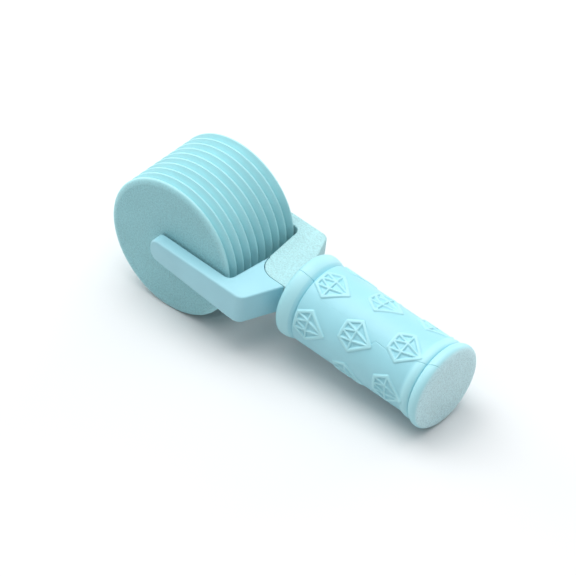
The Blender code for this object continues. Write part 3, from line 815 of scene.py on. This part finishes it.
def gem_ribs():
    """Centre lines of the gem's ribs as (along, across) pairs, each with its rib's width."""
    third = GEM_GIRDLE_HALF / 3
    table = [(0.0, GEM_TABLE_HALF), (0.0, 0.0), (0.0, -GEM_TABLE_HALF)]
    girdle = [(GEM_CROWN, across) for across in (GEM_GIRDLE_HALF, third, -third, -GEM_GIRDLE_HALF)]
    zigzag = [table[0], girdle[1], table[1], girdle[2], table[2]]
    facets = list(zip(zigzag, zigzag[1:])) + list(zip(girdle, girdle[1:]))
    facets += [(corner, GEM_CULET) for corner in girdle[1:3]]
    outline = gem_outline()
    ribs = [(line, GEM_OUTLINE_WIDTH) for line in zip(outline, outline[1:] + outline[:1])]
    return ribs + [(line, GEM_FACET_WIDTH) for line in facets]


def gem_outline():
    """Corners of the gem in order round it."""
    return [
        (0.0, GEM_TABLE_HALF), (0.0, -GEM_TABLE_HALF), (GEM_CROWN, -GEM_GIRDLE_HALF),
        GEM_CULET, (GEM_CROWN, GEM_GIRDLE_HALF),
    ]


def gem_height(along, across):
    """Height of the ribs, and of the sunk facets between them, at places in the gem's own plane."""
    place = np.stack([along, across], axis=-1)
    rise = np.zeros(along.shape)
    for (start, end), width in gem_ribs():
        start, run = np.array(start), np.subtract(end, start)
        share = np.clip(((place - start) @ run) / (run @ run), 0, 1)
        distance = np.linalg.norm(place - start - share[..., None] * run, axis=-1)
        rise = np.maximum(rise, np.clip((width / 2 + GEM_FLANK / 2 - distance) / GEM_FLANK, 0, 1))
    rise = rise * rise * (3 - 2 * rise)
    inside = np.ones(along.shape, dtype=bool)
    outline = gem_outline()
    for start, end in zip(outline, outline[1:] + outline[:1]):
        run = np.subtract(end, start)
        inside &= run[0] * (across - start[1]) - run[1] * (along - start[0]) > 0
    base = np.where(inside, -GEM_POCKET_DEPTH, 0.0)
    return base + (GEM_HEIGHT - base) * rise


def relief(along, angle):
    """Height of all the gems at places on the grip."""
    height = np.zeros(along.shape)
    for start_x, first_angle, count in GEM_ROWS:
        for step in range(count):
            turn = angle - first_angle - step * GEM_SPACING
            turn = (turn + math.pi) % (2 * math.pi) - math.pi
            u, v = along - start_x, turn * BODY_RADIUS
            near = (u > -GEM_MARGIN) & (u < GEM_CULET[0] + GEM_MARGIN)
            near &= np.abs(v) < GEM_GIRDLE_HALF + GEM_MARGIN
            height[near] += gem_height(u[near], v[near])
    return height


def window_radius(angle, half_width):
    """Distance from the axis to a tang-shaped rectangular window."""
    side, up = np.abs(np.sin(angle)), np.cos(angle)
    level = np.where(up > 0, FORK_TOP + GAP, -FORK_BOTTOM + GAP)
    return np.minimum(half_width / np.maximum(side, TINY), level / np.maximum(np.abs(up), TINY))


def seam_bends():
    """Places along the grip that the stepped parting line needs in the hollow inside."""
    bends = [FRONT_SEAM[0][0]]
    for (start, first), (end, last) in zip(FRONT_SEAM, FRONT_SEAM[1:]):
        steps = max(1, math.ceil(abs(last - first) / SEAM_STEP_DEGREES))
        bends += [start + (end - start) * index / steps for index in range(1, steps + 1)]
    return bends


def inner_rows():
    """Places and shapes of the hollow inside, from the front: (along, kind)."""
    seat = END_X - CAP_THICKNESS - GAP
    changes = [
        (GRIP_FRONT_X, "window"), (GRIP_FRONT_X + FRONT_WALL, "window"),
        (GRIP_FRONT_X + FRONT_WALL + BORE_STEP, "bore"), (WEB_START_X - BORE_STEP, "bore"),
        (WEB_START_X, "web"), (WEB_END_X, "web"), (WEB_END_X + BORE_STEP, "bore"),
        (seat - BORE_STEP, "bore"), (seat, "seat"), (END_X, "seat"),
    ]
    rows = list(changes)
    for place in seam_bends():
        nearest = min(abs(place - along) for along, _ in rows)
        if GRIP_FRONT_X < place < END_X and nearest > BORE_STEP * 4:
            kind = [name for along, name in changes if along < place][-1]
            rows.append((place, kind))
    return sorted(rows)


def inner_radius(kind, angle):
    """Distance from the axis to the hollow's wall."""
    if kind == "window":
        return window_radius(angle, TANG_HALF_WIDTH + GAP)
    if kind == "web":
        return window_radius(angle, WEB_HALF_WIDTH)
    return np.full(angle.shape, GRIP_BORE_RADIUS if kind == "bore" else END_FACE_RADIUS)


def around(start, end):
    """Angles between two seams for each place along, closer together beside the seams."""
    width = SEAM_GROOVE_WIDTH / BODY_RADIUS
    beside = width * np.linspace(0.0, 1.0, SEAM_COLUMNS)
    count = int(np.min(end - start) * BODY_RADIUS / FINE)
    plain = np.linspace(0.0, 1.0, count)[None, :]
    first = (start + width * SEAM_MARGIN)[:, None]
    last = (end - width * SEAM_MARGIN)[:, None]
    middle = first + (last - first) * plain
    return np.concatenate(
        [start[:, None] + beside, middle, end[:, None] - beside[::-1]], axis=1
    )


def slant(along, angle):
    """How many times longer the way round to a slanting seam is than the straight way."""
    return np.hypot(1.0, np.gradient(angle * BODY_RADIUS, along))[:, None]


def seam_depth(along, distance):
    """How far the surface dips beside the parting line; a notch marks it in the valley."""
    notch = np.exp(-(((along - VALLEY_X) / SEAM_NOTCH_LENGTH) ** 2))
    opening = np.interp(along, *zip(*SEAM_OPENING)) + SEAM_NOTCH_SHARE * notch
    depth = SEAM_GROOVE_DEPTH * opening
    share = np.clip(1 - distance / SEAM_GROOVE_WIDTH, 0, 1)
    return depth * share * share


def shell_angles(along, upper):
    """Angles at which one shell starts and ends, from the parting line to the rear one or back."""
    front, closing = seam_angle(along), HAIRLINE / BODY_RADIUS
    rear = np.full(along.shape, REAR_SEAM_ANGLE)
    if upper:
        return front + closing, rear - closing
    return rear + closing, front + 2 * math.pi - closing


def on_grip(along, radius, angle):
    """Points by distance from the axle, distance from the grip's axis and angle from its top."""
    return np.stack([along, radius * np.sin(angle), radius * np.cos(angle)], axis=-1)


def outer_grid(along, radius, upper):
    """Rows of points on a shell's outside, with the gems and the parting line's groove."""
    start, end = shell_angles(along, upper)
    angle = around(start, end)
    place = np.broadcast_to(along[:, None], angle.shape)
    base = radius[:, None]
    from_seam = np.minimum(
        (angle - start[:, None]) / slant(along, start), (end[:, None] - angle) / slant(along, end)
    ) * base
    return on_grip(place, base + relief(place, angle) - seam_depth(place, from_seam), angle)


def inner_grid(rows, upper, columns):
    """Rows of points on a shell's inside, with as many columns as the outside has."""
    along = np.array([place for place, _ in rows])
    angle = around(*shell_angles(along, upper))
    if angle.shape[1] != columns:
        first, last = angle[:, :1], angle[:, -1:]
        angle = first + (last - first) * np.linspace(0, 1, columns)
    radius = np.stack([inner_radius(kind, turn) for (_, kind), turn in zip(rows, angle)])
    return on_grip(np.broadcast_to(along[:, None], angle.shape), radius, angle)


def grid_faces(index):
    """Quads between neighbouring points of a grid."""
    corners = (index[:-1, :-1], index[:-1, 1:], index[1:, 1:], index[1:, :-1])
    return np.stack(corners, axis=-1).reshape(-1, 4).tolist()


def rim_faces(outer_row, inner_row):
    """Quads that join the outside to the inside at one end of a shell."""
    corners = (outer_row[:-1], outer_row[1:], inner_row[1:], inner_row[:-1])
    return np.stack(corners, axis=-1).tolist()


def wall_faces(outer_index, inner_index, outer_along, inner_along, column):
    """Faces of the wall where a shell meets the other one, one between each two inner rows."""
    nearest = [int(np.argmin(np.abs(outer_along - place))) for place in inner_along]
    nearest[0], nearest[-1] = 0, len(outer_along) - 1
    faces = []
    for row, (first, last) in enumerate(zip(nearest, nearest[1:])):
        span = outer_index[first:last + 1, column].tolist()
        faces.append(span + [int(inner_index[row + 1, column]), int(inner_index[row, column])])
    return faces


def make_grip_shell(name, upper, material):
    along, radius = even_steps(grip_outline(), FINE).T
    outer = outer_grid(along, radius, upper)
    rows = inner_rows()
    inner = inner_grid(rows, upper, outer.shape[1])
    outer_index = np.arange(outer[..., 0].size).reshape(outer.shape[:2])
    inner_index = outer_index.size + np.arange(inner[..., 0].size).reshape(inner.shape[:2])

    faces = grid_faces(outer_index) + grid_faces(inner_index)
    for row in (0, -1):
        faces += rim_faces(outer_index[row], inner_index[row])
    inner_along = np.array([place for place, _ in rows])
    for column in (0, -1):
        faces += wall_faces(outer_index, inner_index, along, inner_along, column)
    points = np.concatenate([outer.reshape(-1, 3), inner.reshape(-1, 3)])
    shell = new_piece(name, points, faces, material)
    point_outward(shell)
    return shell


def make_grip(material):
    for side, upper in (("upper", True), ("lower", False)):
        shell = make_grip_shell(f"grip_{side}", upper, material)
        finish_piece(shell, f"grip_shell_{side}", "handle", GRIP_SHARP_DEGREES)


def make_end_cap(material):
    """Disc in the rear flange with a spigot in the grip's bore."""
    back = END_X - CAP_THICKNESS
    edge = END_FACE_RADIUS - HAIRLINE
    profile = [
        (END_X, 0.0),
        (END_X, edge),
        (back, edge),
        (back, GRIP_BORE_RADIUS - GAP),
        (back - CAP_SPIGOT_LENGTH, GRIP_BORE_RADIUS - GAP),
        (back - CAP_SPIGOT_LENGTH, 0.0),
    ]
    cap = revolve("grip_end_disc", profile, "X", material)
    finish_piece(cap, "end_cap", "handle")


# ---------------------------------------------------------------- studio


def soft_dome():
    """World that is brightest overhead and fades to black at the horizon."""
    world = bpy.data.worlds.new("studio")
    world.use_nodes = True
    tree = world.node_tree
    direction = tree.nodes.new("ShaderNodeTexCoord").outputs["Generated"]
    split = tree.nodes.new("ShaderNodeSeparateXYZ")
    tree.links.new(direction, split.inputs["Vector"])
    height = tree.nodes.new("ShaderNodeMath")
    height.operation = "MAXIMUM"
    height.inputs[1].default_value = 0.0
    tree.links.new(split.outputs["Z"], height.inputs[0])
    fade = tree.nodes.new("ShaderNodeMath")
    fade.operation = "POWER"
    fade.inputs[1].default_value = DOME_FALLOFF
    tree.links.new(height.outputs["Value"], fade.inputs[0])
    gain = tree.nodes.new("ShaderNodeMath")
    gain.operation = "MULTIPLY"
    gain.inputs[1].default_value = DOME_STRENGTH
    tree.links.new(fade.outputs["Value"], gain.inputs[0])
    tree.links.new(gain.outputs["Value"], tree.nodes["Background"].inputs["Strength"])
    tree.nodes["Background"].inputs["Color"].default_value = (*DOME_COLOUR, 1.0)
    return world


def add_area_light(name, azimuth, elevation, power):
    """Square light that faces the tool; azimuth runs from +Y towards +X, in degrees."""
    data = bpy.data.lights.new(name, "AREA")
    data.shape = "SQUARE"
    data.size = LIGHT_SIZE
    data.energy = power
    turn, lift = math.radians(azimuth), math.radians(elevation)
    flat = math.cos(lift)
    towards = Vector((flat * math.sin(turn), flat * math.cos(turn), math.sin(lift)))
    light = bpy.data.objects.new(name, data)
    light.location = towards * LIGHT_DISTANCE
    light.rotation_euler = towards.to_track_quat("Z", "Y").to_euler()
    bpy.context.scene.collection.objects.link(light)


def make_floor():
    floor_mesh = bpy.data.meshes.new("floor")
    reach = FLOOR_REACH
    corners = [(-reach, -reach, 0), (reach, -reach, 0), (reach, reach, 0), (-reach, reach, 0)]
    floor_mesh.from_pydata(corners, [], [(0, 1, 2, 3)])
    paper = bpy.data.materials.new("pale_floor")
    paper.use_nodes = True
    shader = paper.node_tree.nodes["Principled BSDF"]
    shader.inputs["Base Color"].default_value = (*FLOOR_COLOUR, 1.0)
    shader.inputs["Roughness"].default_value = FLOOR_ROUGHNESS
    shader.inputs["Specular IOR Level"].default_value = FLOOR_SPECULAR
    floor_mesh.materials.append(paper)
    floor = bpy.data.objects.new("floor", floor_mesh)
    bpy.context.scene.collection.objects.link(floor)


def make_studio():
    make_floor()
    bpy.context.scene.world = soft_dome()
    for name, azimuth, elevation, power in STUDIO_LIGHTS:
        add_area_light(name, azimuth, elevation, power)
    bpy.context.scene.view_settings.view_transform = "Standard"


def place_camera():
    data = bpy.data.cameras.new("camera")
    data.lens = LENS_MM
    data.sensor_width = SENSOR_MM
    data.clip_start = CLIP_START
    data.clip_end = CLIP_END
    camera = bpy.data.objects.new("camera", data)
    turn = Matrix.Rotation(VIEW_AZIMUTH, 4, "Z") @ Matrix.Rotation(math.pi / 2 - VIEW_ELEVATION, 4, "X")
    back = (turn @ Vector((0, 0, 1))) * VIEW_DISTANCE
    camera.matrix_world = Matrix.Translation(VIEW_TARGET + back) @ turn @ Matrix.Rotation(VIEW_ROLL, 4, "Z")
    bpy.context.scene.collection.objects.link(camera)
    bpy.context.scene.camera = camera


# ---------------------------------------------------------------- assembly

place_camera()
make_studio()
make_roller(
    moulded_plastic("drum_satin", DRUM_AQUA, **SATIN, edge=RIM_EDGE),
    moulded_plastic("face_grained", FACE_AQUA, **FACE_GRAIN),
)
make_fork({
    "left": moulded_plastic("fork_satin", FORK_AQUA, **SATIN),
    "right": moulded_plastic("fork_grained", GRAINED_AQUA, **FORK_GRAIN),
})
# the grip's material paints sheen on the flange's rounding and a highlight on the gem ribs
make_grip(moulded_plastic("grip_satin", GRIP_AQUA, **SATIN, edge=FLANGE_SHEEN, rib_highlight=RIB_HIGHLIGHT))
# the end disc's pale aqua is painted sheen
make_end_cap(moulded_plastic("end_grained_sheen", END_AQUA_AND_SHEEN, **END_GRAIN))
axle_mesh = frame["nodes"]["axle_pin"].data
axle_mesh.materials.clear()
axle_mesh.materials.append(drawn_steel("drawn_steel"))
